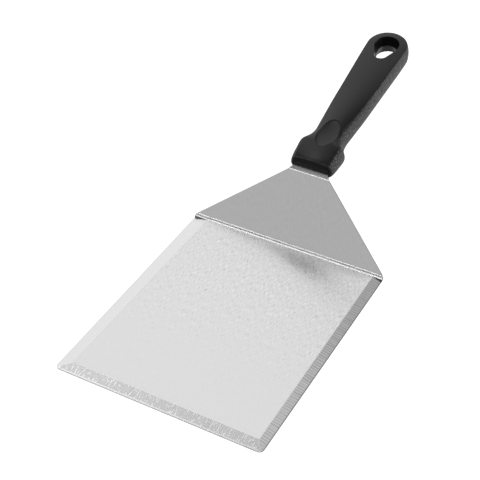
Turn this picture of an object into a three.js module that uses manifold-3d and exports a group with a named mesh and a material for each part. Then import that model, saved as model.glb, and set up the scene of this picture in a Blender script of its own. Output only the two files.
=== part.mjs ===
// Grill spatula: one bent sheet-steel blade and the moulded plastic handle that grips its tang.
//
// Units are millimetres, +Z up. The origin is the middle of the flat underside of the blade.
// +Y runs from the ground front edge towards the handle and +X is to the right of the user.

import * as THREE from 'three';
import { mergeVertices } from 'three/addons/utils/BufferGeometryUtils.js';
import Module from 'manifold-3d';

// ---- Driving dimensions ---------------------------------------------------------------------

const BLADE_WIDTH = 127;        // 5 in across the blade
const BLADE_LENGTH = 152.4;     // 6 in, about as far as the widest corners
const SHEET = 1.5;              // steel thickness
const CORNER_RADIUS = 3;        // front corners of the blade
const FRONT_Y = -BLADE_LENGTH / 2;
const FOLD_Y = BLADE_LENGTH / 2 - 0.7;  // where the planes of the blade and the neck meet
const FOLD_CORNER = 152;        // the widest corners, measured from the front edge along the sheet
const FOLD_CORNER_RADIUS = 2;

const NECK_RUN = 28.3;          // level distance from the fold to the top bend
const NECK_TOP_Z = 38.8;        // height of the top bend's apex, on the upper face
const FOLD_RADIUS = 3.5;        // inner radius of the fold
const TOP_BEND_RADIUS = 8;      // outer radius of the bend into the tang
const HANDLE_RISE = THREE.MathUtils.degToRad(11.85);  // handle axis above the blade
const BEND_STEPS = 8;           // facets along each bend

const RIM = 0.35;               // steel left at the ground edges
const FRONT_BEVEL = 7;          // width of the ground front bevel
const SIDE_BEVELS = [           // hand ground: the left one is wider, both widen to the fold
  { side: -1, atFront: 7.5, atFold: 9.3 },
  { side: 1, atFront: 5.1, atFold: 6.0 },
];
const BEVEL_STOP_Y = FOLD_Y - 1.5;  // the side bevels stop in a small step at the fold

const NECK_END_HALF = 13.9;     // half-width of the neck where the top bend starts
const MOUTH_HALF = 11;          // half-width of the tang where it enters the handle
const TANG_HALF = 8;            // half-width of the tang inside the handle
const MOUTH = 2.2;              // places along the tang, from the top bend's apex
const TANG_TAPER_END = 12;
const TANG_LENGTH = 80;
const TANG_CORNER = 4;          // corner radius at the tang's end
const CORNER_CUTS = 6;          // facets round each corner of the sheet
const GRIND_DEPTH = 40;         // height and width of the blocks that cut the ground bevels
const LOCK_HOLES = [40, 64];    // holes in the tang that the plastic fills
const LOCK_HOLE_RADIUS = 3.5;
const PEG_SIDES = 24;
const GAP = 0.3;                // clearance between the tang and the plastic

const HANDLE_LIFT = 0.43;       // handle mid-plane above the tang's upper face
const TIP_CENTRE = 114.6;       // centre of the handle's round end
// Handle sections along its axis. Each has the half-width at the mid-plane, the half-width and
// height of the crease between top and side, the height of the crown, the crease's rounding and
// how deep the underside is compared with the top.
const SECTIONS = [
  { s: 1.7, side: 12.6, crease: 10.8, edge: 3.4, crown: 4.6, round: 0.8, under: 0.92 },
  { s: 2.1, side: 13.3, crease: 11.4, edge: 4.3, crown: 5.6, round: 0.9, under: 0.86 },
  { s: 3.3, side: 14.0, crease: 12.0, edge: 5.0, crown: 6.4, round: 1.5, under: 0.82 },
  { s: 6.5, side: 14.6, crease: 12.4, edge: 5.9, crown: 7.1, round: 2.1, under: 0.8 },
  { s: 11.5, side: 14.9, crease: 12.7, edge: 6.7, crown: 7.8, round: 2.3, under: 0.8 },
  { s: 17.0, side: 15.2, crease: 13.0, edge: 7.2, crown: 8.3, round: 2.3, under: 0.8 },
  { s: 18.8, side: 14.7, crease: 12.6, edge: 7.2, crown: 8.4, round: 2.2, under: 0.8 },
  { s: 20.5, side: 13.4, crease: 11.6, edge: 7.0, crown: 8.4, round: 2.1, under: 0.8 },
  { s: 23.0, side: 12.0, crease: 10.3, edge: 6.6, crown: 8.4, round: 2.0, under: 0.82 },
  { s: 26.0, side: 11.2, crease: 9.6, edge: 6.0, crown: 8.3, round: 1.9, under: 0.84 },
  { s: 30.0, side: 10.9, crease: 9.2, edge: 5.5, crown: 8.2, round: 1.8, under: 0.86 },
  { s: 40.0, side: 11.5, crease: 9.8, edge: 5.4, crown: 8.0, round: 1.5, under: 0.92 },
  { s: 55.0, side: 12.2, crease: 10.8, edge: 5.6, crown: 7.7, round: 1.1, under: 0.98 },
  { s: 72.0, side: 12.7, crease: 11.5, edge: 5.8, crown: 7.4, round: 0.8, under: 1 },
  { s: 90.0, side: 13.3, crease: 12.3, edge: 5.9, crown: 7.2, round: 0.6, under: 1 },
  { s: 105.0, side: 13.8, crease: 13.0, edge: 5.9, crown: 7.0, round: 0.5, under: 1 },
  { s: TIP_CENTRE, side: 14.1, crease: 13.3, edge: 5.8, crown: 6.9, round: 0.5, under: 1 },
];
const STATION_STEP = 5;         // longest facet along the handle
const HALVED_SPAN = 1.4;        // sections further apart than this get at least one between them
const TIP_STEPS = 14;           // facets round the handle's end
const TOP_STEPS = 6;            // facets from the crown to the crease
const CORNER_STEPS = 3;         // facets over the crease
const SIDE_STEPS = 3;           // facets from the crease to the mid-plane

// Teardrop hang hole, narrowest at the mid-plane.
const HOLE_RIM = { wide: 114.9, wideRadius: 8.2, narrow: 105.2, narrowRadius: 4.6, height: 7 };
const HOLE_WAIST = { wide: 114.9, wideRadius: 6.2, narrow: 105.4, narrowRadius: 4.0 };
const HOLE_DEPTH = 10;          // the cutter runs past both faces
const HOLE_ARC_STEPS = 12;      // facets round each end of the teardrop

// Thumb scoop in the top of the handle: an oval outline, and a bowl that is part of an ellipsoid.
const SCOOP = { s: 26.6, halfWidth: 6.1, halfLength: 11.6 };
const SCOOP_BOWL = { height: 12.6, across: 15.8, along: 21.3, deep: 6 };
const SCOOP_SIDES = 32;         // facets round the oval
const BOWL_FACETS = [48, 32];   // facets round the whole ellipsoid, and from pole to pole

const STEEL = { color: 0xc9cacb, roughness: 0.32, metalness: 1 };
const BLACK_PLASTIC = { color: 0x1b1b1c, roughness: 0.5, metalness: 0 };

// ---- Solids ---------------------------------------------------------------------------------

const wasm = await Module();
wasm.setup();

function solidOf(geometry) {
  const bare = new THREE.BufferGeometry();
  bare.setAttribute('position', geometry.getAttribute('position').clone());
  if (geometry.index) bare.setIndex(geometry.index.clone());
  const merged = mergeVertices(bare, 1e-4);
  return new wasm.Manifold(new wasm.Mesh({
    numProp: 3,
    vertProperties: new Float32Array(merged.attributes.position.array),
    triVerts: new Uint32Array(withoutSlivers(merged.index.array)),
  }));
}

// Triangles that lost an edge when vertices merged, as they do at a pole, are left out.
function withoutSlivers(index) {
  const kept = [];
  for (let i = 0; i < index.length; i += 3) {
    const [a, b, c] = [index[i], index[i + 1], index[i + 2]];
    if (a !== b && b !== c && c !== a) kept.push(a, b, c);
  }
  return kept;
}

function geometryOf(solid) {
  const { vertProperties, triVerts } = solid.getMesh();
  const geometry = new THREE.BufferGeometry();
  geometry.setAttribute('position', new THREE.BufferAttribute(vertProperties, 3));
  geometry.setIndex(new THREE.BufferAttribute(triVerts, 1));
  geometry.computeVertexNormals();
  return geometry;
}

// ---- Bent steel sheet -----------------------------------------------------------------------
// Its stations are points of the upper face at a distance `u` along it, with the sheet's slope
// there and the half-width it was cut to while it was still flat.

// The upper face of the sheet seen from the side, with `spare` more length at the tang's end.
function sheetPath(spare) {
  const neckAngle = Math.atan2(NECK_TOP_Z - SHEET, NECK_RUN);
  const top = new THREE.Vector2(FOLD_Y + NECK_RUN, NECK_TOP_Z);
  const along = new THREE.Vector2(Math.cos(HANDLE_RISE), Math.sin(HANDLE_RISE));
  const end = along.multiplyScalar(TANG_LENGTH + spare).add(top);
  const path = [
    { y: FRONT_Y, z: SHEET, slope: 0 },
    ...bend(new THREE.Vector2(FOLD_Y, SHEET), 0, neckAngle, FOLD_RADIUS),
    ...bend(top, neckAngle, HANDLE_RISE, TOP_BEND_RADIUS),
    { y: end.x, z: end.y, slope: HANDLE_RISE },
  ];
  let u = 0;
  return path.map((point, i) => {
    if (i > 0) u += Math.hypot(point.y - path[i - 1].y, point.z - path[i - 1].z);
    return { ...point, u };
  });
}

// An arc that turns the path from one slope to another round an apex.
function bend(apex, from, to, radius) {
  const reach = radius * Math.tan(Math.abs(to - from) / 2);
  const turn = Math.sign(to - from);
  const start = new THREE.Vector2(-Math.cos(from), -Math.sin(from)).multiplyScalar(reach).add(apex);
  const centre = new THREE.Vector2(-Math.sin(from), Math.cos(from))
    .multiplyScalar(turn * radius).add(start);
  const points = [];
  for (let i = 0; i <= BEND_STEPS; i++) {
    const slope = from + (to - from) * i / BEND_STEPS;
    const out = new THREE.Vector2(Math.sin(slope), -Math.cos(slope)).multiplyScalar(turn * radius);
    const point = out.add(centre);
    points.push({ y: point.x, z: point.y, slope });
  }
  return points;
}

// The cut outline of the flat sheet, as half-widths along it.
function flatOutline(path) {
  const topBendStart = path[2 + BEND_STEPS].u;
  const length = path[path.length - 1].u;
  const apex = length - TANG_LENGTH;
  const outline = [];
  for (let i = 0; i <= CORNER_CUTS; i++) {
    const angle = Math.PI / 2 * i / CORNER_CUTS;
    outline.push({
      u: CORNER_RADIUS * (1 - Math.cos(angle)),
      half: BLADE_WIDTH / 2 - CORNER_RADIUS * (1 - Math.sin(angle)),
    });
  }
  const lean = Math.atan2(BLADE_WIDTH / 2 - NECK_END_HALF, topBendStart - FOLD_CORNER);
  const reach = FOLD_CORNER_RADIUS * Math.tan(lean / 2);
  for (let i = 0; i <= CORNER_CUTS; i++) {
    const angle = lean * i / CORNER_CUTS;
    outline.push({
      u: FOLD_CORNER - reach + FOLD_CORNER_RADIUS * Math.sin(angle),
      half: BLADE_WIDTH / 2 - FOLD_CORNER_RADIUS * (1 - Math.cos(angle)),
    });
  }
  outline.push({ u: topBendStart, half: NECK_END_HALF });
  outline.push({ u: apex + MOUTH, half: MOUTH_HALF });
  outline.push({ u: apex + TANG_TAPER_END, half: TANG_HALF });
  for (let i = 0; i <= CORNER_CUTS; i++) {
    const angle = Math.PI / 2 * i / CORNER_CUTS;
    outline.push({
      u: length - TANG_CORNER * (1 - Math.sin(angle)),
      half: TANG_HALF - TANG_CORNER * (1 - Math.cos(angle)),
    });
  }
  return outline;
}

// A row between the listed ones, in proportion to `u`.
function rowAt(rows, u) {
  const next = THREE.MathUtils.clamp(rows.findIndex((row) => row.u > u - 1e-6), 1, rows.length - 1);
  const [a, b] = [rows[next - 1], rows[next]];
  const t = (u - a.u) / (b.u - a.u);
  return Object.fromEntries(Object.keys(a).map((key) => [key, a[key] + (b[key] - a[key]) * t]));
}

function sheetStations(path) {
  const outline = flatOutline(path);
  const marks = [...path, ...outline].map((row) => row.u).sort((a, b) => a - b);
  const places = marks.filter((u, i) => i === 0 || u - marks[i - 1] > 1e-3);
  return places.map((u) => ({ ...rowAt(path, u), half: rowAt(outline, u).half }));
}

// A closed body round the stations, its faces `above` and `below` the sheet's upper face and its
// cut edges square to the sheet.
function sheetBody(stations, above, below, grow) {
  const corner = (p, side, d) => [
    side * (p.half + grow), p.y - d * Math.sin(p.slope), p.z + d * Math.cos(p.slope)];
  const positions = stations.flatMap((p) => [
    corner(p, -1, above), corner(p, 1, above), corner(p, 1, -below), corner(p, -1, -below)]);
  const index = [0, 2, 1, 0, 3, 2];
  const last = positions.length - 4;
  for (let a = 0; a < last; a++) {
    const b = a % 4 === 3 ? a - 3 : a + 1;
    index.push(a, b, b + 4, a, b + 4, a + 4);
  }
  index.push(last, last + 1, last + 2, last, last + 2, last + 3);
  const geometry = new THREE.BufferGeometry();
  geometry.setAttribute('position', new THREE.Float32BufferAttribute(positions.flat(), 3));
  geometry.setIndex(index);
  return solidOf(geometry);
}

// A block whose underside is the plane of a ground bevel. `inner` is a point on the bevel's
// inner edge, `heading` the direction of that edge and `drop` how far the plane falls per mm.
function bevelBlock(inner, heading, drop, length) {
  const block = new THREE.BoxGeometry(GRIND_DEPTH, length, GRIND_DEPTH);
  block.translate(GRIND_DEPTH / 2, length / 2, GRIND_DEPTH / 2);
  block.rotateY(Math.atan(drop));
  block.rotateZ(heading);
  block.translate(inner.x, inner.y, SHEET);
  return solidOf(block);
}

function frontBevel() {
  const inner = { x: -BLADE_WIDTH, y: FRONT_Y + FRONT_BEVEL };
  return bevelBlock(inner, -Math.PI / 2, (SHEET - RIM) / FRONT_BEVEL, 2 * BLADE_WIDTH);
}

function sideBevel({ side, atFront, atFold }) {
  const reach = BEVEL_STOP_Y - FRONT_Y;
  const lean = Math.atan((atFold - atFront) / reach);
  const inner = { x: BLADE_WIDTH / 2 - atFront, y: FRONT_Y };
  const block = bevelBlock(inner, lean, (SHEET - RIM) / atFront, reach / Math.cos(lean));
  return side > 0 ? block : block.mirror([1, 0, 0]);
}

function lockPegs(radius) {
  return LOCK_HOLES.map((s) => {
    const peg = new THREE.CylinderGeometry(radius, radius, 3 * SHEET, PEG_SIDES);
    peg.rotateX(Math.PI / 2);
    peg.rotateX(HANDLE_RISE);
    const z = NECK_TOP_Z + s * Math.sin(HANDLE_RISE) - SHEET / 2;
    peg.translate(0, FOLD_Y + NECK_RUN + s * Math.cos(HANDLE_RISE), z);
    return solidOf(peg);
  });
}

function bladeSolid() {
  let blade = sheetBody(sheetStations(sheetPath(0)), 0, SHEET, 0);
  blade = blade.subtract(frontBevel());
  SIDE_BEVELS.forEach((bevel) => { blade = blade.subtract(sideBevel(bevel)); });
  lockPegs(LOCK_HOLE_RADIUS).forEach((peg) => { blade = blade.subtract(peg); });
  return blade;
}

// ---- Moulded handle -------------------------------------------------------------------------
// In the handle's own frame +Y is its axis, from the mouth to the round end, and z = 0 is the
// mid-plane, where the two halves of the mould met.

// A section between the stated ones, on a smooth cubic through them.
function sectionAt(s) {
  const last = SECTIONS.length - 1;
  const at = (i) => SECTIONS[THREE.MathUtils.clamp(i, 0, last)];
  let i = SECTIONS.findIndex((row) => row.s >= s) - 1;
  i = THREE.MathUtils.clamp(i, 0, last - 1);
  const [before, a, b, after] = [at(i - 1), at(i), at(i + 1), at(i + 2)];
  const span = b.s - a.s;
  const t = (s - a.s) / span;
  const value = (key) => {
    const slopeA = (b[key] - before[key]) / (b.s - before.s) * span;
    const slopeB = (after[key] - a[key]) / (after.s - a.s) * span;
    return a[key] * (1 + 2 * t) * (1 - t) ** 2 + slopeA * t * (1 - t) ** 2
      + b[key] * t * t * (3 - 2 * t) - slopeB * t * t * (1 - t);
  };
  return {
    side: value('side'), crease: value('crease'), edge: value('edge'),
    crown: value('crown'), round: value('round'), under: value('under'),
  };
}

// Half of a section as (distance from the axis, height), from the crown down to the mid-plane.
function upperProfile({ side, crease, edge, crown, round }) {
  const topAt = (r) => new THREE.Vector2(r, crown - (crown - edge) * (r / crease) ** 2);
  const sideAt = (h) => new THREE.Vector2(side - (side - crease) * (h / edge) ** 2, h);
  const corner = new THREE.QuadraticBezierCurve(
    topAt(crease - round), new THREE.Vector2(crease, edge), sideAt(edge - round));
  const points = [];
  for (let i = 0; i < TOP_STEPS; i++) points.push(topAt((crease - round) * i / TOP_STEPS));
  for (let i = 0; i < CORNER_STEPS; i++) points.push(corner.getPoint(i / CORNER_STEPS));
  for (let i = 0; i <= SIDE_STEPS; i++) points.push(sideAt((edge - round) * (1 - i / SIDE_STEPS)));
  return points;
}

function fullProfile(section) {
  const upper = upperProfile(section);
  const lower = upper.slice(0, -1).reverse()
    .map((p) => new THREE.Vector2(p.x, -section.under * p.y));
  return [...upper, ...lower];
}

// Places along the handle: every stated section, with more between sections that lie far apart.
function stationPlaces() {
  const places = [SECTIONS[0].s];
  for (let i = 1; i < SECTIONS.length; i++) {
    const from = SECTIONS[i - 1].s;
    const span = SECTIONS[i].s - from;
    const steps = Math.max(Math.ceil(span / STATION_STEP), span > HALVED_SPAN ? 2 : 1);
    for (let k = 1; k <= steps; k++) places.push(from + span * k / steps);
  }
  return places;
}

// The skin runs up the left side, round the end and back down the right side.
function handleSkin() {
  const places = stationPlaces();
  const rows = [];
  const addRow = (s, angle) => {
    rows.push(fullProfile(sectionAt(s)).map((p) => new THREE.Vector3(
      p.x * Math.cos(angle), s + p.x * Math.sin(angle), p.y)));
  };
  places.forEach((s) => addRow(s, Math.PI));
  for (let i = 1; i < TIP_STEPS; i++) addRow(TIP_CENTRE, Math.PI * (1 - i / TIP_STEPS));
  [...places].reverse().forEach((s) => addRow(s, 0));
  return rows;
}

// Rows of points joined into a skin. The first and last rows meet along the axis, and the flat
// front is closed by a fan.
function handleShell() {
  const rows = handleSkin();
  const count = rows[0].length;
  const positions = rows.flat().flatMap((p) => [p.x, p.y, p.z]);
  const index = [];
  for (let r = 0; r + 1 < rows.length; r++) {
    for (let c = 0; c + 1 < count; c++) {
      const a = r * count + c;
      const b = a + count;
      index.push(a, b, a + 1, b, b + 1, a + 1);
    }
  }
  const middle = positions.length / 3;
  positions.push(0, SECTIONS[0].s, 0);
  const lastRow = (rows.length - 1) * count;
  for (let c = 0; c + 1 < count; c++) {
    index.push(middle, c, c + 1);
    index.push(middle, lastRow + c + 1, lastRow + c);
  }
  const geometry = new THREE.BufferGeometry();
  geometry.setAttribute('position', new THREE.Float32BufferAttribute(positions, 3));
  geometry.setIndex(index);
  return solidOf(geometry);
}

// A teardrop made of two arcs, with the straight flanks that touch both.
function teardrop({ wide, wideRadius, narrow, narrowRadius }) {
  const flank = Math.asin((wideRadius - narrowRadius) / (wide - narrow));
  const points = [];
  const arc = (centre, radius, from, to) => {
    for (let i = 0; i <= HOLE_ARC_STEPS; i++) {
      const angle = from + (to - from) * i / HOLE_ARC_STEPS;
      points.push([radius * Math.cos(angle), centre + radius * Math.sin(angle)]);
    }
  };
  arc(wide, wideRadius, -flank, Math.PI + flank);
  arc(narrow, narrowRadius, Math.PI + flank, 2 * Math.PI - flank);
  return points;
}

// One half of the hang hole's cutter, from the waist at the mid-plane out past the face.
function holeHalf(direction) {
  const beyond = HOLE_DEPTH / HOLE_RIM.height;
  const outerAt = (key) => HOLE_WAIST[key] + (HOLE_RIM[key] - HOLE_WAIST[key]) * beyond;
  const outer = teardrop({
    wide: outerAt('wide'), wideRadius: outerAt('wideRadius'),
    narrow: outerAt('narrow'), narrowRadius: outerAt('narrowRadius'),
  });
  const inner = teardrop(HOLE_WAIST);
  const count = inner.length;
  const ring = (points, z) => points.flatMap(([x, y]) => [x, y, z]);
  const index = [];
  for (let i = 0; i < count; i++) {
    const next = (i + 1) % count;
    index.push(i, next, count + i, next, count + next, count + i);
    if (i > 0 && i + 1 < count) index.push(0, i + 1, i, count, count + i, count + i + 1);
  }
  const geometry = new THREE.BufferGeometry();
  geometry.setAttribute('position', new THREE.Float32BufferAttribute(
    [...ring(inner, 0), ...ring(outer, HOLE_DEPTH)], 3));
  geometry.setIndex(index);
  const half = solidOf(geometry);
  return direction > 0 ? half : half.mirror([0, 0, 1]);
}

function scoopCutter() {
  const bowl = new THREE.SphereGeometry(1, ...BOWL_FACETS);
  bowl.scale(SCOOP_BOWL.across, SCOOP_BOWL.along, SCOOP_BOWL.deep);
  bowl.translate(0, SCOOP.s, SCOOP_BOWL.height);
  const oval = new THREE.CylinderGeometry(1, 1, SCOOP_BOWL.height, SCOOP_SIDES);
  oval.rotateX(Math.PI / 2);
  oval.scale(SCOOP.halfWidth, SCOOP.halfLength, 1);
  oval.translate(0, SCOOP.s, SCOOP_BOWL.height);
  return solidOf(bowl).intersect(solidOf(oval));
}

// The space that the tang fills, with the pegs of plastic that lock it left standing.
function tangSlot(handleFrame) {
  const path = sheetPath(GAP);
  const topBendStart = path[2 + BEND_STEPS].u;
  const stations = sheetStations(path).filter((station) => station.u >= topBendStart);
  let slot = sheetBody(stations, GAP, SHEET + GAP, GAP);
  lockPegs(LOCK_HOLE_RADIUS - GAP).forEach((peg) => { slot = slot.subtract(peg); });
  return slot.transform(handleFrame.clone().invert().elements);
}

function handleSolid(handleFrame) {
  return handleShell()
    .subtract(holeHalf(1)).subtract(holeHalf(-1))
    .subtract(scoopCutter())
    .subtract(tangSlot(handleFrame));
}

// ---- Assembly -------------------------------------------------------------------------------

function namedMesh(name, solid, look) {
  const mesh = new THREE.Mesh(geometryOf(solid), new THREE.MeshStandardMaterial(look));
  mesh.name = name;
  return mesh;
}

function handleGroup() {
  const group = new THREE.Group();
  const up = new THREE.Vector3(0, -Math.sin(HANDLE_RISE), Math.cos(HANDLE_RISE));
  group.position.set(0, FOLD_Y + NECK_RUN, NECK_TOP_Z).addScaledVector(up, HANDLE_LIFT);
  group.rotation.x = HANDLE_RISE;
  group.updateMatrix();
  return group;
}

const spatula = new THREE.Group();
spatula.add(namedMesh('blade', bladeSolid(), STEEL));
const handle = handleGroup();
handle.add(namedMesh('handle', handleSolid(handle.matrix), BLACK_PLASTIC));
spatula.add(handle);

export default spatula;
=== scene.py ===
"""Looks of the grill spatula: a bent brushed-steel blade and its moulded black handle.

Lengths are in millimetres until a mesh is made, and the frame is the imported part's: the origin
is the middle of the blade's flat underside, +Y runs towards the handle and +Z is up.
"""

import math

import bmesh
import bpy
import numpy as np
from mathutils import Matrix, Vector


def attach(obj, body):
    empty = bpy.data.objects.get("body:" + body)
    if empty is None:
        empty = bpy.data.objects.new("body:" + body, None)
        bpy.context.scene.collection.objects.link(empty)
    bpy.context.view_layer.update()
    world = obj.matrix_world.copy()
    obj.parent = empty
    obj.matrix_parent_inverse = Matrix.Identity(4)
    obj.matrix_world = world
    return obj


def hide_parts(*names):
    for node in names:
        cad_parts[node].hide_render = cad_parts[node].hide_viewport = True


MM = 0.001

# ---- Dimensions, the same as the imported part's ------------------------------------------------

BLADE_WIDTH = 127
BLADE_LENGTH = 152.4
SHEET = 1.5
CORNER_RADIUS = 3
FRONT_Y = -BLADE_LENGTH / 2
FOLD_Y = BLADE_LENGTH / 2 - 0.7
FOLD_CORNER = 152
FOLD_CORNER_RADIUS = 2

NECK_RUN = 28.3
NECK_TOP_Z = 38.8
NECK_ANGLE = math.atan2(NECK_TOP_Z - SHEET, NECK_RUN)
FOLD_LENGTH = 3.3
TOP_BEND_LENGTH = 5.6
# The bends have small flats in them: (share of the bend's length, share of its turn).
FOLD_PROFILE = ((0, 0), (0.04, 0.36), (0.33, 0.45), (0.40, 0.59), (0.60, 0.64), (0.64, 0.68),
                (0.76, 0.73), (0.80, 0.83), (0.97, 0.97), (1, 1))
TOP_BEND_PROFILE = ((0, 0), (0.03, 0.31), (0.12, 0.40), (0.16, 0.46), (0.48, 0.54), (0.50, 0.60),
                    (0.72, 0.74), (1, 1))
HANDLE_RISE = math.radians(11.85)

RIM = 0.35
FRONT_BEVEL = 7
SIDE_BEVELS = ((-1, 7.5, 9.3), (1, 5.1, 6.0))  # side, width at the front, width at the fold
BEVEL_STOP_Y = FOLD_Y - 1.5

NECK_END_HALF = 13.9
MOUTH_HALF = 11
TANG_HALF = 8
MOUTH = 2.2
TANG_TAPER_END = 12
TANG_LENGTH = 80
TANG_CORNER = 4
LOCK_HOLES = (40, 64)
LOCK_HOLE_RADIUS = 3.5
GRIND_DEPTH = 40
GAP = 0.3

HANDLE_LIFT = 0.43
TIP_CENTRE = 114.6
# Place along the handle: half-width, half-width and height of the crease, height of the crown,
# rounding of the crease, depth of the underside compared with the top.
SECTIONS = (
    (1.7, 12.6, 10.8, 3.4, 4.6, 0.8, 0.92),
    (2.1, 13.3, 11.4, 4.3, 5.6, 0.9, 0.86),
    (3.3, 14.0, 12.0, 5.0, 6.4, 1.5, 0.82),
    (6.5, 14.6, 12.4, 5.9, 7.1, 2.1, 0.80),
    (11.5, 14.9, 12.7, 6.7, 7.8, 2.3, 0.80),
    (17.0, 15.2, 13.0, 7.2, 8.3, 2.3, 0.80),
    (18.8, 14.7, 12.6, 7.2, 8.4, 2.2, 0.80),
    (20.5, 13.4, 11.6, 7.0, 8.4, 2.1, 0.80),
    (23.0, 12.0, 10.3, 6.6, 8.4, 2.0, 0.82),
    (26.0, 11.2, 9.6, 6.0, 8.3, 1.9, 0.84),
    (30.0, 10.9, 9.2, 5.5, 8.2, 1.8, 0.86),
    (40.0, 11.5, 9.8, 5.4, 8.0, 1.5, 0.92),
    (55.0, 12.2, 10.8, 5.6, 7.7, 1.1, 0.98),
    (72.0, 12.7, 11.5, 5.8, 7.4, 0.8, 1.0),
    (90.0, 13.3, 12.3, 5.9, 7.2, 0.6, 1.0),
    (105.0, 13.8, 13.0, 5.9, 7.0, 0.5, 1.0),
    (TIP_CENTRE, 14.1, 13.3, 5.8, 6.9, 0.5, 1.0),
)

HOLE_RIM = dict(wide=114.9, wide_radius=8.2, narrow=105.2, narrow_radius=4.6)
HOLE_RIM_HEIGHT = 7
HOLE_WAIST = dict(wide=114.9, wide_radius=6.2, narrow=105.4, narrow_radius=4.0)
HOLE_DEPTH = 10
SCOOP_S = 26.6
SCOOP_OVAL = (6.1, 11.6)
SCOOP_BOWL = (15.8, 21.3, 6)
SCOOP_BOWL_HEIGHT = 12.6

# ---- How finely the meshes are made ------------------------------------------------------------

BEND_STEPS = 40
CORNER_STEPS = 10
PEG_SIDES = 48
FLAT_ANGLE = math.radians(0.4)  # faces that meet flatter than this become one
SHARP_ANGLE = math.radians(30)  # edges sharper than this are broken
EDGE_ROUND = 0.16               # broken edges of the ground blade
NECK_EDGE_ROUND = 0.3           # and of the neck, which aren't ground
EDGE_SEGMENTS = 3
MOUTH_STRETCH = 2               # the handle's first millimetres turn in quickly to its mouth
MOUTH_STEP = 0.25
STATION_STEP = 1.0
TIP_STEPS = 60
TOP_STEPS, CREASE_STEPS, SIDE_STEPS = 14, 6, 6
HOLE_STEPS = 36
BOWL_FACETS = (96, 64)          # facets round the whole ellipsoid, and from pole to pole
HANDLE_VOXEL = 0.25             # the moulded skin is remeshed to this, which rounds its edges
HANDLE_SMOOTHING = 2
UV_UNIT = 100                   # millimetres in one unit of the blade's UV maps


# ---- Camera ------------------------------------------------------------------------------------

CAMERA_AZIMUTH, CAMERA_ELEVATION = 28.73, 39.24
CAMERA_TARGET = (-16.14, 46.32, 20.22)
CAMERA_DISTANCE = 722
CAMERA_LENS = 92.625
SENSOR = 36


def direction(azimuth, elevation):
    a, e = math.radians(azimuth), math.radians(elevation)
    return Vector((math.sin(a) * math.cos(e), -math.cos(a) * math.cos(e), math.sin(e)))


def make_camera():
    data = bpy.data.cameras.new("camera")
    data.sensor_width = SENSOR
    data.lens = CAMERA_LENS
    data.dof.use_dof = False
    camera = bpy.data.objects.new("camera", data)
    bpy.context.scene.collection.objects.link(camera)
    back = direction(CAMERA_AZIMUTH, CAMERA_ELEVATION)
    camera.location = (Vector(CAMERA_TARGET) + back * CAMERA_DISTANCE) * MM
    camera.rotation_euler = (-back).to_track_quat("-Z", "Y").to_euler()
    bpy.context.scene.camera = camera


# ---- Mesh helpers ------------------------------------------------------------------------------


def mesh_object(name, vertices, faces):
    """A linked object from vertices in millimetres."""
    mesh = bpy.data.meshes.new(name)
    mesh.from_pydata([Vector(v) * MM for v in vertices], [], faces)
    mesh.validate()
    made = bpy.data.objects.new(name, mesh)
    bpy.context.scene.collection.objects.link(made)
    return made


def outward(made):
    shape = bmesh.new()
    shape.from_mesh(made.data)
    bmesh.ops.remove_doubles(shape, verts=shape.verts, dist=1e-4 * MM)
    bmesh.ops.recalc_face_normals(shape, faces=shape.faces)
    shape.to_mesh(made.data)
    shape.free()
    return made


def modifier(made, kind, **settings):
    added = made.modifiers.new(kind.lower(), kind)
    for key, value in settings.items():
        setattr(added, key, value)
    return added


def settle(made):
    """Applies all of an object's modifiers to its mesh."""
    graph = bpy.context.evaluated_depsgraph_get()
    graph.update()
    result = bpy.data.meshes.new_from_object(made.evaluated_get(graph))
    made.modifiers.clear()
    made.data = result
    return made


def cut(made, *cutters, operation="DIFFERENCE"):
    for cutter in cutters:
        modifier(made, "BOOLEAN", operation=operation, object=cutter, solver="EXACT")
        settle(made)
        bpy.data.objects.remove(cutter)
    return made


def tube(rows):
    """Faces over closed rings of points, one ring after another, with a face on each end."""
    count = len(rows[0])
    faces = []
    for r in range(len(rows) - 1):
        for c in range(count):
            a, b = r * count + c, r * count + (c + 1) % count
            faces.append((a, b, b + count, a + count))
    faces.append(tuple(reversed(range(count))))
    faces.append(tuple(range((len(rows) - 1) * count, len(rows) * count)))
    return [p for row in rows for p in row], faces


# ---- Bent steel sheet --------------------------------------------------------------------------


def bend(apex, start, end, length, profile):
    """Points (y, z, slope) of a bend that turns the path from one slope to another."""
    shares, turned = np.array(profile).T
    slopes = start + (end - start) * np.interp(np.linspace(0, 1, BEND_STEPS + 1), shares, turned)
    middle = (slopes[1:] + slopes[:-1]) / 2
    step = length / BEND_STEPS
    run = np.concatenate([[0], np.cumsum(step * np.cos(middle))])
    rise = np.concatenate([[0], np.cumsum(step * np.sin(middle))])
    # It starts so far before the apex that it ends on the second straight line.
    before = (run[-1] * math.sin(end) - rise[-1] * math.cos(end)) / math.sin(end - start)
    first = (apex[0] - before * math.cos(start), apex[1] - before * math.sin(start))
    return list(zip(first[0] + run, first[1] + rise, slopes))


def sheet_path(spare=0):
    """Rows (distance u, y, z, slope) along the sheet's upper face."""
    top = (FOLD_Y + NECK_RUN, NECK_TOP_Z)
    length = TANG_LENGTH + spare
    points = [(FRONT_Y, SHEET, 0)]
    points += bend((FOLD_Y, SHEET), 0, NECK_ANGLE, FOLD_LENGTH, FOLD_PROFILE)
    points += bend(top, NECK_ANGLE, HANDLE_RISE, TOP_BEND_LENGTH, TOP_BEND_PROFILE)
    points.append((top[0] + length * math.cos(HANDLE_RISE),
                   top[1] + length * math.sin(HANDLE_RISE), HANDLE_RISE))
    path = np.array(points)
    steps = np.hypot(np.diff(path[:, 0]), np.diff(path[:, 1]))
    return np.column_stack([np.concatenate([[0], np.cumsum(steps)]), path])


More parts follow.
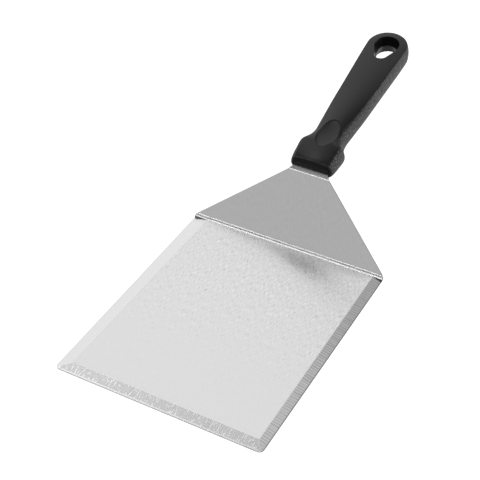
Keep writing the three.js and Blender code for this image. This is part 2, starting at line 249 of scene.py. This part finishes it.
def flat_outline(path):
    """Rows (distance u, half-width) of the sheet as it was cut flat."""
    length = path[-1, 0]
    apex = length - TANG_LENGTH
    quarter = np.linspace(0, math.pi / 2, CORNER_STEPS + 1)
    front = [(CORNER_RADIUS * (1 - math.cos(a)),
              BLADE_WIDTH / 2 - CORNER_RADIUS * (1 - math.sin(a))) for a in quarter]
    top_bend_start = path[2 + BEND_STEPS, 0]
    lean = math.atan2(BLADE_WIDTH / 2 - NECK_END_HALF, top_bend_start - FOLD_CORNER)
    start = FOLD_CORNER - FOLD_CORNER_RADIUS * math.tan(lean / 2)
    corner = [(start + FOLD_CORNER_RADIUS * math.sin(a),
               BLADE_WIDTH / 2 - FOLD_CORNER_RADIUS * (1 - math.cos(a)))
              for a in np.linspace(0, lean, CORNER_STEPS + 1)]
    middle = [
        (top_bend_start, NECK_END_HALF),
        (apex + MOUTH, MOUTH_HALF),
        (apex + TANG_TAPER_END, TANG_HALF),
    ]
    end = [(length - TANG_CORNER * (1 - math.sin(a)),
            TANG_HALF - TANG_CORNER * (1 - math.cos(a))) for a in quarter]
    return np.array(front + corner + middle + end)


def sheet_body(name, path, first_u, above, below, grow):
    outline = flat_outline(path)
    marks = np.sort(np.concatenate([path[:, 0], outline[:, 0]]))
    marks = marks[np.concatenate([[True], np.diff(marks) > 1e-3])]
    rows = []
    for u in marks[marks >= first_u]:
        y, z, slope = (np.interp(u, path[:, 0], path[:, k]) for k in (1, 2, 3))
        half = np.interp(u, outline[:, 0], outline[:, 1]) + grow
        rows.append([(side * half, y - d * math.sin(slope), z + d * math.cos(slope))
                     for side, d in ((-1, above), (1, above), (1, -below), (-1, -below))])
    return outward(mesh_object(name, *tube(rows)))


def block(name, inner, heading, drop, length):
    """A block whose underside is the plane of a ground bevel."""
    corners = [(x, y, z) for z in (0, GRIND_DEPTH) for y in (0, length) for x in (0, GRIND_DEPTH)]
    turn = Matrix.Translation((*inner, SHEET)) @ Matrix.Rotation(heading, 4, "Z") \
        @ Matrix.Rotation(math.atan(drop), 4, "Y")
    faces = [(0, 1, 3, 2), (4, 5, 7, 6), (0, 1, 5, 4), (2, 3, 7, 6), (0, 2, 6, 4), (1, 3, 7, 5)]
    return outward(mesh_object(name, [turn @ Vector(c) for c in corners], faces))


def bevel_blocks():
    fall = SHEET - RIM
    blocks = [block("front_cut", (-BLADE_WIDTH, FRONT_Y + FRONT_BEVEL), -math.pi / 2,
                    fall / FRONT_BEVEL, 2 * BLADE_WIDTH)]
    reach = BEVEL_STOP_Y - FRONT_Y
    for side, at_front, at_fold in SIDE_BEVELS:
        lean = math.atan((at_fold - at_front) / reach)
        made = block("side_cut", (BLADE_WIDTH / 2 - at_front, FRONT_Y), lean, fall / at_front,
                     reach / math.cos(lean))
        if side < 0:
            made.data.transform(Matrix.Scale(-1, 4, (1, 0, 0)))
            outward(made)
        blocks.append(made)
    return blocks


def lock_pegs(radius):
    pegs = []
    for s in LOCK_HOLES:
        ring = [(radius * math.cos(a), radius * math.sin(a))
                for a in np.linspace(0, 2 * math.pi, PEG_SIDES, endpoint=False)]
        rows = [[(x, y, z) for x, y in ring] for z in (-2 * SHEET, 2 * SHEET)]
        made = mesh_object("peg", *tube(rows))
        made.data.transform(Matrix.Scale(MM, 4) @ Matrix.Translation(
            (0, FOLD_Y + NECK_RUN + s * math.cos(HANDLE_RISE),
             NECK_TOP_Z + s * math.sin(HANDLE_RISE) - SHEET / 2))
            @ Matrix.Rotation(HANDLE_RISE, 4, "X") @ Matrix.Scale(1 / MM, 4))
        pegs.append(outward(made))
    return pegs


def unrolled(points, path):
    """Distance u along the sheet of each point (y, z), for the grain to follow the bends."""
    best = np.full(len(points), np.inf)
    found = np.zeros(len(points))
    for a, b in zip(path[:-1], path[1:]):
        span = b[1:3] - a[1:3]
        t = np.clip((points - a[1:3]) @ span / (span @ span), 0, 1)
        gap = np.linalg.norm(points - (a[1:3] + t[:, None] * span), axis=1)
        closer = gap < best - 1e-9
        best[closer] = gap[closer]
        found[closer] = (a[0] + t * (b[0] - a[0]))[closer]
    return found


# Places of the blade's finishes in its list of materials.
FACE, FRONT_GROUND, LEFT_GROUND, RIGHT_GROUND, CUT_EDGE = range(5)
GROUND = {FRONT_GROUND, LEFT_GROUND, RIGHT_GROUND}


def finish_of(centre, normal):
    """Which of the blade's finishes a face gets, from where it lies and how it is tilted."""
    slightly_tilted = 0.95 < normal.z < 0.997
    if slightly_tilted and centre.y < BEVEL_STOP_Y:
        if abs(normal.y) > abs(normal.x):
            return FRONT_GROUND
        return LEFT_GROUND if normal.x < 0 else RIGHT_GROUND
    underside = normal.z < -0.7
    if underside:
        return FACE
    side_edge = abs(normal.x) > 0.5
    front_edge = normal.y < -0.5 and centre.z < SHEET + 0.1
    return CUT_EDGE if side_edge or front_edge else FACE


def bevel_place(point, which):
    """(distance along a ground bevel, share of the way from its ridge to the edge)."""
    if which == FRONT_GROUND:
        return point[0] / UV_UNIT, (FRONT_Y + FRONT_BEVEL - point[1]) / FRONT_BEVEL
    side, at_front, at_fold = SIDE_BEVELS[0 if which == LEFT_GROUND else 1]
    share = (point[1] - FRONT_Y) / (BEVEL_STOP_Y - FRONT_Y)
    width = at_front + (at_fold - at_front) * share
    return point[1] / UV_UNIT, (side * point[0] - BLADE_WIDTH / 2 + width) / width


def make_blade():
    path = sheet_path()
    blade = sheet_body("blade_skin", path, 0, 0, SHEET, 0)
    cut(blade, *bevel_blocks(), *lock_pegs(LOCK_HOLE_RADIUS))
    shape = bmesh.new()
    shape.from_mesh(blade.data)
    bmesh.ops.remove_doubles(shape, verts=shape.verts, dist=1e-3 * MM)
    bmesh.ops.dissolve_limit(shape, angle_limit=FLAT_ANGLE, verts=shape.verts,
                             edges=shape.edges)
    stop = (BEVEL_STOP_Y + 0.1) * MM
    for on_neck, offset in ((True, NECK_EDGE_ROUND), (False, EDGE_ROUND)):
        sharp = [e for e in shape.edges if e.calc_face_angle(0) > SHARP_ANGLE
                 and (min(v.co.y for v in e.verts) > stop) == on_neck]
        bmesh.ops.bevel(shape, geom=sharp, offset=offset * MM, segments=EDGE_SEGMENTS,
                        profile=0.5, affect="EDGES", clamp_overlap=True)
    shape.normal_update()
    for face in shape.faces:
        face.smooth = True
        face.material_index = finish_of(face.calc_center_median() / MM, face.normal)
    for edge in shape.edges:
        finishes = {face.material_index for face in edge.link_faces}
        edge.smooth = len(finishes) == 1 or not finishes & GROUND
    points = np.array([v.co for v in shape.verts]) / MM
    u = unrolled(points[:, 1:], path)
    shape.verts.index_update()
    sheet, ground = (shape.loops.layers.uv.new(name) for name in ("sheet", "ground"))
    for face in shape.faces:
        for loop in face.loops:
            i = loop.vert.index
            loop[sheet].uv = (points[i, 0] / UV_UNIT, u[i] / UV_UNIT)
            if face.material_index in GROUND:
                loop[ground].uv = bevel_place(points[i], face.material_index)
    shape.to_mesh(blade.data)
    shape.free()
    modifier(blade, "WEIGHTED_NORMAL", mode="FACE_AREA", weight=100, keep_sharp=True)
    return settle(blade)


# ---- Moulded handle ----------------------------------------------------------------------------
# In the handle's own frame +Y is its axis and z = 0 the mid-plane, where the mould halves met.


def section_at(s):
    """A section between the listed ones, on a smooth cubic through them."""
    table = np.array(SECTIONS)
    last = len(table) - 1
    i = min(max(int(np.searchsorted(table[:, 0], s)) - 1, 0), last - 1)
    before, a, b, after = (table[min(max(k, 0), last)] for k in (i - 1, i, i + 1, i + 2))
    span = b[0] - a[0]
    t = (s - a[0]) / span
    slope_a = (b - before) / (b[0] - before[0]) * span
    slope_b = (after - a) / (after[0] - a[0]) * span
    row = (a * (1 + 2 * t) * (1 - t) ** 2 + slope_a * t * (1 - t) ** 2
           + b * t * t * (3 - 2 * t) - slope_b * t * t * (1 - t))
    return row[1:]


def upper_profile(side, crease, edge, crown, rounding):
    """Half of a section as (distance from the axis, height), from the crown to the mid-plane."""
    def top_at(r):
        return np.array((r, crown - (crown - edge) * (r / crease) ** 2))

    def side_at(h):
        return np.array((side - (side - crease) * (h / edge) ** 2, h))

    points = [top_at((crease - rounding) * i / TOP_STEPS) for i in range(TOP_STEPS)]
    first, middle = top_at(crease - rounding), np.array((crease, edge))
    last = side_at(edge - rounding)
    for t in np.linspace(0, 1, CREASE_STEPS, endpoint=False):
        points.append((1 - t) ** 2 * first + 2 * t * (1 - t) * middle + t * t * last)
    points += [side_at((edge - rounding) * (1 - i / SIDE_STEPS)) for i in range(SIDE_STEPS + 1)]
    return points


def full_profile(s):
    *upper, under = section_at(s)
    points = upper_profile(*upper)
    return points + [np.array((x, -under * z)) for x, z in reversed(points[:-1])]


def handle_skin():
    """The skin runs up the left side, round the end and back down the right side."""
    start = SECTIONS[0][0]
    places = [start + MOUTH_STEP * i for i in range(round(MOUTH_STRETCH / MOUTH_STEP))]
    places += list(np.arange(start + MOUTH_STRETCH, TIP_CENTRE, STATION_STEP)) + [TIP_CENTRE]
    turns = [(s, math.pi) for s in places]
    turns += [(TIP_CENTRE, math.pi * (1 - i / TIP_STEPS)) for i in range(1, TIP_STEPS)]
    turns += [(s, 0.0) for s in reversed(places)]
    rows = [[(x * math.cos(a), s + x * math.sin(a), z) for x, z in full_profile(s)]
            for s, a in turns]
    count = len(rows[0])
    vertices = [p for row in rows for p in row]
    faces = []
    for r in range(len(rows) - 1):
        for c in range(count - 1):
            a = r * count + c
            faces.append((a, a + count, a + count + 1, a + 1))
    last = (len(rows) - 1) * count
    faces.append(tuple(range(count)) + tuple(reversed(range(last + 1, last + count - 1))))
    return outward(mesh_object("handle_skin", vertices, faces))


def teardrop(wide, wide_radius, narrow, narrow_radius):
    flank = math.asin((wide_radius - narrow_radius) / (wide - narrow))
    points = []
    for centre, radius, start, end in (
        (wide, wide_radius, -flank, math.pi + flank),
        (narrow, narrow_radius, math.pi + flank, 2 * math.pi - flank),
    ):
        points += [(radius * math.cos(a), centre + radius * math.sin(a))
                   for a in np.linspace(start, end, HOLE_STEPS)]
    return points


def hole_cutter():
    reach = HOLE_DEPTH / HOLE_RIM_HEIGHT
    outer = {k: HOLE_WAIST[k] + (HOLE_RIM[k] - HOLE_WAIST[k]) * reach for k in HOLE_WAIST}
    rows = [[(x, y, z) for x, y in teardrop(**shape)]
            for shape, z in ((outer, -HOLE_DEPTH), (HOLE_WAIST, 0), (outer, HOLE_DEPTH))]
    return outward(mesh_object("hole_cut", *tube(rows)))


def scoop_cutter():
    shape = bmesh.new()
    bmesh.ops.create_uvsphere(shape, u_segments=BOWL_FACETS[0], v_segments=BOWL_FACETS[1],
                              radius=MM)
    bmesh.ops.scale(shape, verts=shape.verts, vec=SCOOP_BOWL)
    middle = Vector((0, SCOOP_S, SCOOP_BOWL_HEIGHT)) * MM
    bmesh.ops.translate(shape, verts=shape.verts, vec=middle)
    mesh = bpy.data.meshes.new("bowl")
    shape.to_mesh(mesh)
    shape.free()
    bowl = bpy.data.objects.new("bowl", mesh)
    bpy.context.scene.collection.objects.link(bowl)
    ring = np.linspace(0, 2 * math.pi, BOWL_FACETS[0], endpoint=False)
    rows = [[(SCOOP_OVAL[0] * math.cos(a), SCOOP_S + SCOOP_OVAL[1] * math.sin(a), z) for a in ring]
            for z in (SCOOP_BOWL_HEIGHT / 2, 1.5 * SCOOP_BOWL_HEIGHT)]
    return cut(bowl, outward(mesh_object("oval", *tube(rows))), operation="INTERSECT")


def handle_matrix():
    up = Vector((0, -math.sin(HANDLE_RISE), math.cos(HANDLE_RISE)))
    place = Vector((0, FOLD_Y + NECK_RUN, NECK_TOP_Z)) + up * HANDLE_LIFT
    return Matrix.Translation(place * MM) @ Matrix.Rotation(HANDLE_RISE, 4, "X")


def slot_cutter():
    path = sheet_path(GAP)
    slot = sheet_body("slot_cut", path, path[2 + BEND_STEPS, 0], GAP, SHEET + GAP, GAP)
    return cut(slot, *lock_pegs(LOCK_HOLE_RADIUS - GAP))


def make_handle():
    handle = handle_skin()
    cut(handle, hole_cutter(), scoop_cutter())
    handle.data.transform(handle_matrix())
    cut(handle, slot_cutter())
    modifier(handle, "REMESH", mode="VOXEL", voxel_size=HANDLE_VOXEL * MM, use_smooth_shade=True)
    modifier(handle, "SMOOTH", factor=0.5, iterations=HANDLE_SMOOTHING)
    settle(handle)
    mark_texture(handle)
    return handle


SPARK_TILT = 0.93               # upright share of the normal at which the texture starts
SPARK_FADE = 0.10               # and over which it grows to its full strength
SCOOP_MARGIN = 2                # smooth border of the scoop
SMOOTH_FRONT = -0.45            # faces turned to the blade more than this are smooth
PAINTED_SHADE_FRONT = -0.6               # and more than this, take the duller copy of the plastic, which paints shade
# Smooth oval round the hang hole: its middle along the axis, radius across and squash along.
HOLE_MASK_S, HOLE_MASK_RADIUS, HOLE_MASK_SQUASH = 110.5, 9.3, 0.62


def mark_texture(handle):
    """Stores, at each point, how far it lies in the spark-textured sides of the mould."""
    mesh = handle.data
    back = handle_matrix().inverted()
    count = len(mesh.vertices)
    places, normals = np.empty(count * 3), np.empty(count * 3)
    mesh.vertices.foreach_get("co", places)
    mesh.vertices.foreach_get("normal", normals)
    turn = np.array(back.to_3x3())
    x, s, height = ((places.reshape(-1, 3) @ turn.T + np.array(back.translation)) / MM).T
    _, facing, upright = (normals.reshape(-1, 3) @ turn.T).T
    spark = np.clip((SPARK_TILT - np.abs(upright)) / SPARK_FADE, 0, 1)
    inside_hole = np.hypot(x, (s - HOLE_MASK_S) * HOLE_MASK_SQUASH) < HOLE_MASK_RADIUS
    half_width, half_length = (half + SCOOP_MARGIN for half in SCOOP_OVAL)
    in_scoop = (np.hypot(x / half_width, (s - SCOOP_S) / half_length) < 1) & (height > 0)
    spark[inside_hole | in_scoop | (facing < SMOOTH_FRONT)] = 0
    layer = mesh.attributes.new("spark", "FLOAT", "POINT")
    layer.data.foreach_set("value", spark)
    # The collar's front face takes a duller copy of the plastic: painted shade, standing for the
    # dark reflection on that face.
    corners = np.empty(len(mesh.loops), dtype=np.int32)
    mesh.loops.foreach_get("vertex_index", corners)
    painted_shade_faces = facing[corners.reshape(-1, 4)].mean(axis=1) < PAINTED_SHADE_FRONT
    mesh.polygons.foreach_set("material_index", painted_shade_faces.astype(np.int32))


# ---- Materials ---------------------------------------------------------------------------------


class Nodes:
    """A short way to write a node tree: each call adds a node and returns its first output."""

    def __init__(self, tree):
        self.tree = tree
        tree.nodes.clear()

    def add(self, kind, inputs=(), **settings):
        node = self.tree.nodes.new(kind)
        for key, value in settings.items():
            setattr(node, key, value)
        for key, value in dict(inputs).items():
            self.feed(node.inputs[key], value)
        return node

    def feed(self, socket, value):
        if isinstance(value, bpy.types.NodeSocket):
            self.tree.links.new(value, socket)
        elif isinstance(value, bpy.types.Node):
            self.tree.links.new(value.outputs[0], socket)
        else:
            socket.default_value = value

    def math(self, operation, a, b=0.0, clamp=False):
        return self.add("ShaderNodeMath", {0: a, 1: b}, operation=operation, use_clamp=clamp)

    def ramp(self, value, low, high, to_low=0.0, to_high=1.0):
        return self.add("ShaderNodeMapRange", {
            "Value": value, "From Min": low, "From Max": high, "To Min": to_low, "To Max": to_high,
        }, interpolation_type="SMOOTHSTEP")

    def noise(self, place, scale, detail=2.0, roughness=0.5):
        return self.add("ShaderNodeTexNoise", {
            "Vector": place, "Scale": scale, "Detail": detail, "Roughness": roughness,
        }).outputs["Fac"]

    def scaled(self, place, factors):
        return self.add("ShaderNodeVectorMath", {0: place, 1: factors}, operation="MULTIPLY")

    def mixed(self, amount, a, b):
        return self.add("ShaderNodeMix", {0: amount, 6: a, 7: b}, data_type="RGBA").outputs[2]


def new_material(name):
    material = bpy.data.materials.new(name)
    material.use_nodes = True
    nodes = Nodes(material.node_tree)
    shader = nodes.add("ShaderNodeBsdfPrincipled")
    nodes.add("ShaderNodeOutputMaterial", {"Surface": shader})
    return material, nodes, shader


PATCHES = (0.25, 0.4)           # how much coarser than the scratches their patches are
CHATTER_WANDER = ((9, 0.6, 1), 5.0)  # how fast the belt's chatter marks wander, and how far
CHATTER_DEPTH = 0.16
GRAIN_UNDER_CHATTER = 0.7
NICK_RAMP = (0.58, 0.64)        # the part of the noise that shows as nicks
GRAIN_ROUGHNESS = 0.1
SCRATCH_DEPTH = 0.02            # millimetres


def steel(name, place, light, dark, scratch, roughness, bump, sheen, fades=(), marks=(),
          stripe=None, nicks=None, painted_light_drift=None):
    """Ground stainless steel. `place` is the UV map whose U runs across the scratches, `scratch`
    their spacing and length in its units and their contrast, and `sheen` how far the highlight
    spreads across them. Each fade is a stretch of the map over which the scratches and the tone
    change: (axis, from, to, strength before, strength after). Each mark is a band of V painted in
    one tone, a painted highlight line or a painted shade line: (middle, half-width, tone).
    `stripe` is the spacing of the grinding belt's chatter, and `nicks` the spacing and length of
    sparse bright scratches. The last argument is a slow change of the whole tone, a painted light
    gradient: (axis, from, to, factor before, factor after)."""
    material, nodes, shader = new_material(name)
    spot = nodes.add("ShaderNodeUVMap", uv_map=place).outputs["UV"]
    axes = nodes.add("ShaderNodeSeparateXYZ", {0: spot}).outputs
    fine = (1 / scratch[0], 1 / scratch[1], 1)
    streaks = nodes.noise(nodes.scaled(spot, fine), 1.0, 2.0, 0.5)
    coarse = (fine[0] * PATCHES[0], fine[1] * PATCHES[1], 1)
    patchy = nodes.noise(nodes.scaled(spot, coarse), 1.0, 1.0)
    grain = nodes.math("SUBTRACT", streaks, 0.5)
    grain = nodes.math("MULTIPLY", grain, nodes.ramp(patchy, 0.3, 0.7, 0.5, 1.5))
    if stripe:
        pace, reach = CHATTER_WANDER
        wander = nodes.math("MULTIPLY", nodes.noise(nodes.scaled(spot, pace), 1.0, 2.0), reach)
        turn = nodes.math("ADD", nodes.math("MULTIPLY", axes["X"], 2 * math.pi / stripe), wander)
        wave = nodes.math("MULTIPLY", nodes.math("SINE", turn), CHATTER_DEPTH)
        grain = nodes.math("ADD", nodes.math("MULTIPLY", grain, GRAIN_UNDER_CHATTER), wave)
    for axis, start, end, before, after in fades:
        grain = nodes.math("MULTIPLY", grain, nodes.ramp(axes[axis], start, end, before, after))
    tone = nodes.math("ADD", nodes.math("MULTIPLY", grain, scratch[2]), 0.5, clamp=True)
    colour = nodes.mixed(tone, (*[dark] * 3, 1), (*[light] * 3, 1))
    # Bands of V in one tone: painted highlight lines and painted shade lines along a bevel's ridge
    # and edge.
    for middle, half, shade in marks:
        off = nodes.math("ABSOLUTE", nodes.math("SUBTRACT", axes["Y"], middle))
        band = nodes.ramp(off, half * 0.4, half, 1.0, 0.0)
        colour = nodes.mixed(band, colour, (*[shade] * 3, 1))
    if nicks:
        sparse = nodes.noise(nodes.scaled(spot, (1 / nicks[0], 1 / nicks[1], 1)), 1.0, 1.0)
        colour = nodes.mixed(nodes.ramp(sparse, *NICK_RAMP), colour, (1, 1, 1, 1))
    # A slow change of the whole tone along one axis: a painted light gradient.
    if painted_light_drift:
        axis, start, end, before, after = painted_light_drift
        change = nodes.ramp(axes[axis], start, end, before, after)
        colour = nodes.add("ShaderNodeVectorMath", {0: colour, "Scale": change}, operation="SCALE")
    nodes.feed(shader.inputs["Base Color"], colour)
    rough = nodes.math("ADD", nodes.math("MULTIPLY", grain, GRAIN_ROUGHNESS), roughness)
    nodes.feed(shader.inputs["Roughness"], rough)
    nodes.feed(shader.inputs["Normal"], nodes.add(
        "ShaderNodeBump", {"Height": grain, "Strength": bump, "Distance": SCRATCH_DEPTH * MM}))
    shader.inputs["Metallic"].default_value = 1.0
    if sheen:
        shader.inputs["Anisotropic"].default_value = sheen
        nodes.feed(shader.inputs["Tangent"], nodes.add(
            "ShaderNodeTangent", direction_type="UV_MAP", uv_map=place))
    return material


def steel_materials():
    return [
        steel("steel_face", "sheet", 1.0, 0.62, (0.004, 0.035, 2.1), 0.28, 0.06, 0.9,
              fades=(("Y", 0.3, 1.2, 0.15, 1.0), ("Y", 1.50, 1.53, 1.0, 0.3))),
        # The ground bevels are one metal: their different base tones are painted light and shade.
        # Their bands of V are painted lines: a painted highlight near the front bevel's edge,
        # painted shade along the left bevel's ridge and edge, and a painted highlight on the right
        # bevel's ridge with painted shade at its edge. The slow tone changes on the front and
        # right bevels are painted light gradients.
        steel("steel_front_bevel", "ground", 0.77, 0.72, (0.014, 1.5, 2.0), 0.24, 0.1, 0.5,
              marks=((0.88, 0.07, 1.0),), nicks=(0.009, 0.5), painted_light_drift=("X", 0.0, 0.5, 1.0, 1.07)),
        steel("steel_left_bevel", "ground", 0.85, 0.83, (0.02, 3.0, 2.0), 0.26, 0.2, 0.6,
              marks=((0.0, 0.06, 0.72), (1.0, 0.05, 0.6))),
        steel("steel_right_bevel", "ground", 1.0, 0.62, (0.016, 3.0, 3.0), 0.26, 0.3, 0.6,
              fades=(("X", 0.0, 0.6, 1.0, 0.5),), marks=((0.0, 0.06, 0.95), (1.0, 0.12, 0.40)),
              stripe=0.0185, painted_light_drift=("X", -0.8, 0.4, 1.15, 0.9)),
        # The cut edges' near-black tone is painted shade: a painted dark reflection along the
        # blade's and neck's rims.
        steel("steel_cut_edge_painted_dark", "sheet", 0.26, 0.16, (0.01, 0.02, 2.0), 0.45, 0.4, 0.0),
    ]


PIT_SCALE, HAZE_SCALE = 1200.0, 60.0  # per metre
PIT_DEPTH = 0.6                 # millimetres
PITS_ON_TOP = 0.03              # share of the texture left on the smooth top
PIT_RAMP = (0.47, 0.64, 0.2, 1.6)
PLASTIC_ROUGHNESS = 0.28
PLASTIC_DARK = (0.0025, 0.0025, 0.0026, 1)
PLASTIC_LIGHT = (0.085, 0.085, 0.086, 1)


def black_plastic(name, gloss):
    """Moulded nylon: smooth on top, spark-textured on the sides of the mould."""
    material, nodes, shader = new_material(name)
    place = nodes.add("ShaderNodeTexCoord").outputs["Object"]
    spark = nodes.add("ShaderNodeAttribute", attribute_name="spark").outputs["Fac"]
    pits = nodes.noise(place, PIT_SCALE, 1.0, 0.6)
    haze = nodes.noise(place, HAZE_SCALE, 3.0)

    def blend(a, share_a, b, share_b):
        return nodes.math("ADD", nodes.math("MULTIPLY", a, share_a),
                          nodes.math("MULTIPLY", b, share_b))

    speckle = nodes.math("MULTIPLY", spark, nodes.ramp(pits, *PIT_RAMP))
    tone = blend(speckle, 0.6, haze, 0.08)
    nodes.feed(shader.inputs["Base Color"], nodes.mixed(tone, PLASTIC_DARK, PLASTIC_LIGHT))
    rough = blend(spark, 0.14, haze, 0.06)
    nodes.feed(shader.inputs["Roughness"], nodes.math("ADD", rough, PLASTIC_ROUGHNESS))
    depth = nodes.math("ADD", nodes.math("MULTIPLY", spark, 1 - PITS_ON_TOP), PITS_ON_TOP)
    height = nodes.math("MULTIPLY", pits, depth)
    nodes.feed(shader.inputs["Normal"], nodes.add(
        "ShaderNodeBump", {"Height": height, "Strength": 1.0, "Distance": PIT_DEPTH * MM}))
    shader.inputs["IOR"].default_value = 1.5
    shader.inputs["Specular IOR Level"].default_value = gloss
    return material


# ---- Studio ------------------------------------------------------------------------------------

FLOOR_HALF = 4000
FLOOR_DROP = 0.05               # the floor lies just clear of the blade's underside
FLOOR_TONE = 0.3
FLOOR_GLOW = 1.0                # the floor's own light as the camera sees it
FLOOR_BOUNCE = 0.6              # and as the object's reflections see it
BACKDROP = 1.0                  # behind the object, as the camera sees it
SURROUND = 0.25                 # the room away from the softboxes, and at the horizon
HORIZON = 0.7
HORIZON_BAND = (0.08, 0.22)     # height of the ray over which one passes into the other
# Softboxes far off: azimuth and elevation of the middle as seen from the object, half-width and
# half-height in degrees, softness of the edge in degrees, brightness.
SOFTBOXES = (
    (222, 36.5, 24, 26.5, 12, 0.70),  # key, behind on the left
    (252, 70, 5, 4, 3, 4.2),          # overhead pair that draws the lines in the bends
    (320, 58, 9, 3, 3, 3.8),
    (335, 28, 30, 20, 16, 0.30),      # front fill
    (111, 18, 15, 14, 8, 5.5),        # right-hand rim light
    (178, 52, 7, 9, 8, 0.40),         # behind on the right, for the ground edge
)


def make_floor():
    half = FLOOR_HALF
    floor = mesh_object("floor", [(-half, -half, 0), (half, -half, 0), (half, half, 0),
                                  (-half, half, 0)], [(0, 1, 2, 3)])
    floor.location.z = -FLOOR_DROP * MM
    material, nodes, shader = new_material("pale_floor")
    place = nodes.add("ShaderNodeTexCoord").outputs["Object"]
    mottle = nodes.ramp(nodes.noise(place, 30.0, 2.0), 0.3, 0.7, 0.99, 1.0)
    tone = nodes.add("ShaderNodeVectorMath", {0: (FLOOR_TONE,) * 3, "Scale": mottle},
                     operation="SCALE")
    nodes.feed(shader.inputs["Base Color"], tone)
    shader.inputs["Roughness"].default_value = 0.8
    shader.inputs["Emission Color"].default_value = (1, 1, 1, 1)
    seen = nodes.add("ShaderNodeLightPath").outputs["Is Camera Ray"]
    glow = nodes.add("ShaderNodeMix", {0: seen, 2: FLOOR_BOUNCE, 3: FLOOR_GLOW}).outputs[0]
    nodes.feed(shader.inputs["Emission Strength"], glow)
    floor.data.materials.append(material)


def softbox(nodes, ray, azimuth, elevation, half_width, half_height, soft, brightness):
    """Brightness of one softbox in the direction of a ray."""
    middle = direction(azimuth, elevation)
    side = middle.cross(Vector((0, 0, 1))).normalized()
    up = side.cross(middle).normalized()

    def along(axis):
        return nodes.add("ShaderNodeVectorMath", {0: ray, 1: tuple(axis)},
                         operation="DOT_PRODUCT").outputs["Value"]

    ahead = along(middle)
    shape = None
    for axis, half in ((side, half_width), (up, half_height)):
        offset = nodes.math("ABSOLUTE", nodes.math("DIVIDE", along(axis), ahead))
        inner = math.tan(math.radians(half - soft / 2))
        outer = math.tan(math.radians(half + soft / 2))
        inside = nodes.ramp(offset, inner, outer, 1.0, 0.0)
        shape = inside if shape is None else nodes.math("MULTIPLY", shape, inside)
    front = nodes.math("GREATER_THAN", ahead, 0.05)
    return nodes.math("MULTIPLY", nodes.math("MULTIPLY", shape, front), brightness)


def make_world():
    world = bpy.data.worlds.new("studio")
    bpy.context.scene.world = world
    world.use_nodes = True
    nodes = Nodes(world.node_tree)
    ray = nodes.add("ShaderNodeTexCoord").outputs["Generated"]
    height = nodes.add("ShaderNodeSeparateXYZ", {0: ray}).outputs["Z"]
    total = nodes.ramp(height, *HORIZON_BAND, HORIZON, SURROUND)
    for box in SOFTBOXES:
        total = nodes.math("ADD", total, softbox(nodes, ray, *box))
    seen = nodes.add("ShaderNodeLightPath").outputs["Is Camera Ray"]
    shown = nodes.add("ShaderNodeMix", {0: seen, 2: total, 3: BACKDROP}).outputs[0]
    background = nodes.add("ShaderNodeBackground", {"Color": (1, 1, 1, 1), "Strength": shown})
    nodes.add("ShaderNodeOutputWorld", {"Surface": background})


# ---- The scene ---------------------------------------------------------------------------------

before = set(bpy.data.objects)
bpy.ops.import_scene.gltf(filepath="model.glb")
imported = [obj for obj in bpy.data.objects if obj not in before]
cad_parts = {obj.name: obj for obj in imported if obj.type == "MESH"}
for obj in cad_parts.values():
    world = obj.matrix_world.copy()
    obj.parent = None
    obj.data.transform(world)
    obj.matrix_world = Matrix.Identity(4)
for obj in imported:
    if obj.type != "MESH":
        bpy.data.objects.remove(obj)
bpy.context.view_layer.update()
make_camera()
bpy.context.scene.view_settings.view_transform = "Standard"

blade = make_blade()
for finish in steel_materials():
    blade.data.materials.append(finish)
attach(blade, "root")
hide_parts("blade")

handle = make_handle()
handle.data.materials.append(black_plastic("moulded_black_plastic", 0.44))
# A duller copy of the same plastic for the collar's front face, as painted shade.
handle.data.materials.append(black_plastic("black_plastic_mouth_painted_shade", 0.15))
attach(handle, "root")
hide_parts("handle")

make_floor()
make_world()
